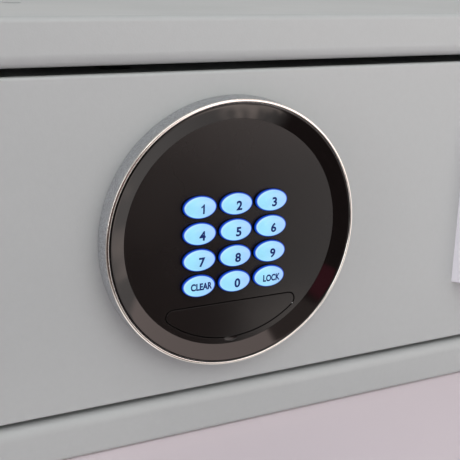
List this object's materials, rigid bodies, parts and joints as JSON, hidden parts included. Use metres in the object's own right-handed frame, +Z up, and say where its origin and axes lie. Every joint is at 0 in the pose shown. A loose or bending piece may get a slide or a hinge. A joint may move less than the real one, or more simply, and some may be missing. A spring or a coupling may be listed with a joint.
{
  "type": "under desk drawer safe",
  "caption": "Flat steel safe with a pull-out lockable drawer, round illuminated keypad, recessed pull and a case that bolts up under a desk top.",
  "frame": {"origin": "middle of the footprint, on the plane that the casing stands on", "axes": "+X to the right seen from the front, +Y into the safe away from the keypad, +Z up"},
  "size_m": [0.43, 0.391, 0.19],
  "materials": {
    "casing_paint": "light grey textured powder coat",
    "pull_paint": "light grey powder coat",
    "zinc": "bright zinc plate",
    "steel": "machined steel",
    "silver_paint": "silver metallic lacquer",
    "chrome": "polished chrome plate",
    "gloss_black": "high gloss black",
    "satin_black": "satin black with a brown cast",
    "lit_key": "translucent key cap, lit blue from behind",
    "silicone": "milky silicone",
    "circuit_board": "green solder mask",
    "brass": "turned brass",
    "felt": "dark grey felt",
    "black_plastic": "fine textured black",
    "cell_jacket": "glossy sleeve",
    "nylon": "natural nylon",
    "red_plastic": "satin red"
  },
  "bodies": {
    "casing": {"casing_wrap": "casing_paint", "front_frame": "casing_paint", "rear_panel": "casing_paint", "strike_plate": "steel", "runner_bracket_left": "casing_paint", "runner_bracket_right": "casing_paint", "runner_outer_left": "zinc", "runner_outer_right": "zinc"},
    "left_middle_runner": {"runner_middle_left": "zinc"},
    "right_middle_runner": {"runner_middle_right": "zinc"},
    "drawer": {"drawer_front": "casing_paint", "drawer_tray": "casing_paint", "liner_mat": "felt", "runner_inner_left": "zinc", "runner_inner_right": "zinc", "lock_cover": "casing_paint", "lock_chassis": "zinc", "cover_screw_1": "zinc", "cover_screw_2": "zinc", "cover_screw_3": "zinc", "cover_screw_4": "zinc", "keypad_housing": "silver_paint", "trim_ring": "chrome", "gloss_ring": "gloss_black", "face_plate": "satin_black", "key_mat": "silicone", "keypad_board": "circuit_board", "override_lock_body": "chrome", "jump_contact_left": "brass", "jump_contact_right": "brass", "lock_motor": "steel", "battery_box": "black_plastic", "battery_1": "cell_jacket", "battery_2": "cell_jacket", "battery_3": "cell_jacket", "battery_4": "cell_jacket", "control_board": "circuit_board", "ribbon_cable": "black_plastic", "pull_housing": "pull_paint"},
    "key_1_cap": {"key_1": "lit_key"},
    "key_2_cap": {"key_2": "lit_key"},
    "key_3_cap": {"key_3": "lit_key"},
    "key_4_cap": {"key_4": "lit_key"},
    "key_5_cap": {"key_5": "lit_key"},
    "key_6_cap": {"key_6": "lit_key"},
    "key_7_cap": {"key_7": "lit_key"},
    "key_8_cap": {"key_8": "lit_key"},
    "key_9_cap": {"key_9": "lit_key"},
    "key_clear_cap": {"key_clear": "lit_key"},
    "key_0_cap": {"key_0": "lit_key"},
    "key_lock_cap": {"key_lock": "lit_key"},
    "half_moon_cover": {"service_cover": "satin_black"},
    "lock_plug": {"override_plug": "brass"},
    "bolt_carriage": {"bolt_bar": "zinc", "lock_bolt_left": "steel", "lock_bolt_right": "steel"},
    "drive_wheel": {"drive_gear": "nylon"},
    "motor_shaft": {"motor_pinion": "brass"},
    "battery_door": {"battery_lid": "black_plastic"},
    "reset_cap": {"reset_button": "red_plastic"}
  },
  "joints": [
    {"name": "drawer_slide", "type": "slide", "parent": "casing", "child": "drawer", "axis": [0, -1, 0], "range_m": [0, 0.3]},
    {"name": "left_runner_slide", "type": "slide", "parent": "casing", "child": "left_middle_runner", "axis": [0, -1, 0], "range_m": [0, 0.15]},
    {"name": "right_runner_slide", "type": "slide", "parent": "casing", "child": "right_middle_runner", "axis": [0, -1, 0], "range_m": [0, 0.15]},
    {"name": "key_1_press", "type": "slide", "parent": "drawer", "child": "key_1_cap", "axis": [0, 1, 0], "range_m": [0, 0.001], "stiffness_N_per_m": 400, "springref_m": -0.001},
    {"name": "key_2_press", "type": "slide", "parent": "drawer", "child": "key_2_cap", "axis": [0, 1, 0], "range_m": [0, 0.001], "stiffness_N_per_m": 400, "springref_m": -0.001},
    {"name": "key_3_press", "type": "slide", "parent": "drawer", "child": "key_3_cap", "axis": [0, 1, 0], "range_m": [0, 0.001], "stiffness_N_per_m": 400, "springref_m": -0.001},
    {"name": "key_4_press", "type": "slide", "parent": "drawer", "child": "key_4_cap", "axis": [0, 1, 0], "range_m": [0, 0.001], "stiffness_N_per_m": 400, "springref_m": -0.001},
    {"name": "key_5_press", "type": "slide", "parent": "drawer", "child": "key_5_cap", "axis": [0, 1, 0], "range_m": [0, 0.001], "stiffness_N_per_m": 400, "springref_m": -0.001},
    {"name": "key_6_press", "type": "slide", "parent": "drawer", "child": "key_6_cap", "axis": [0, 1, 0], "range_m": [0, 0.001], "stiffness_N_per_m": 400, "springref_m": -0.001},
    {"name": "key_7_press", "type": "slide", "parent": "drawer", "child": "key_7_cap", "axis": [0, 1, 0], "range_m": [0, 0.001], "stiffness_N_per_m": 400, "springref_m": -0.001},
    {"name": "key_8_press", "type": "slide", "parent": "drawer", "child": "key_8_cap", "axis": [0, 1, 0], "range_m": [0, 0.001], "stiffness_N_per_m": 400, "springref_m": -0.001},
    {"name": "key_9_press", "type": "slide", "parent": "drawer", "child": "key_9_cap", "axis": [0, 1, 0], "range_m": [0, 0.001], "stiffness_N_per_m": 400, "springref_m": -0.001},
    {"name": "key_clear_press", "type": "slide", "parent": "drawer", "child": "key_clear_cap", "axis": [0, 1, 0], "range_m": [0, 0.001], "stiffness_N_per_m": 400, "springref_m": -0.001},
    {"name": "key_0_press", "type": "slide", "parent": "drawer", "child": "key_0_cap", "axis": [0, 1, 0], "range_m": [0, 0.001], "stiffness_N_per_m": 400, "springref_m": -0.001},
    {"name": "key_lock_press", "type": "slide", "parent": "drawer", "child": "key_lock_cap", "axis": [0, 1, 0], "range_m": [0, 0.001], "stiffness_N_per_m": 400, "springref_m": -0.001},
    {"name": "half_moon_hinge", "type": "hinge", "parent": "drawer", "child": "half_moon_cover", "pos_m": [-0.08, -0.18943, 0.0628], "axis": [-1, 0, 0], "range_deg": [0, 95]},
    {"name": "plug_turn", "type": "hinge", "parent": "drawer", "child": "lock_plug", "pos_m": [-0.08, -0.174, 0.0567], "axis": [0, 1, 0], "range_deg": [0, 90]},
    {"name": "bolt_slide", "type": "slide", "parent": "drawer", "child": "bolt_carriage", "axis": [0, 0, 1], "range_m": [0, 0.012]},
    {"name": "gear_turn", "type": "hinge", "parent": "drawer", "child": "drive_wheel", "pos_m": [-0.08, -0.1555, 0.0567], "axis": [0, -1, 0], "range_deg": [0, 49.2]},
    {"name": "pinion_turn", "type": "hinge", "parent": "drawer", "child": "motor_shaft", "pos_m": [-0.099, -0.1555, 0.0567], "axis": [0, 1, 0], "range_deg": [0, 137.6]},
    {"name": "battery_lid_hinge", "type": "hinge", "parent": "drawer", "child": "battery_door", "pos_m": [0.03275, -0.1382, 0.0375], "axis": [-1, 0, 0], "range_deg": [0, 90]},
    {"name": "reset_press", "type": "slide", "parent": "drawer", "child": "reset_cap", "axis": [0, -1, 0], "range_m": [0, 0.0012], "stiffness_N_per_m": 300, "springref_m": -0.001}
  ],
  "couplings": [
    {"joint": "left_runner_slide", "follows": "drawer_slide", "ratio": 0.5},
    {"joint": "right_runner_slide", "follows": "drawer_slide", "ratio": 0.5},
    {"joint": "gear_turn", "follows": "bolt_slide", "rad_per_m": 71.429},
    {"joint": "pinion_turn", "follows": "bolt_slide", "rad_per_m": 200}
  ]
}
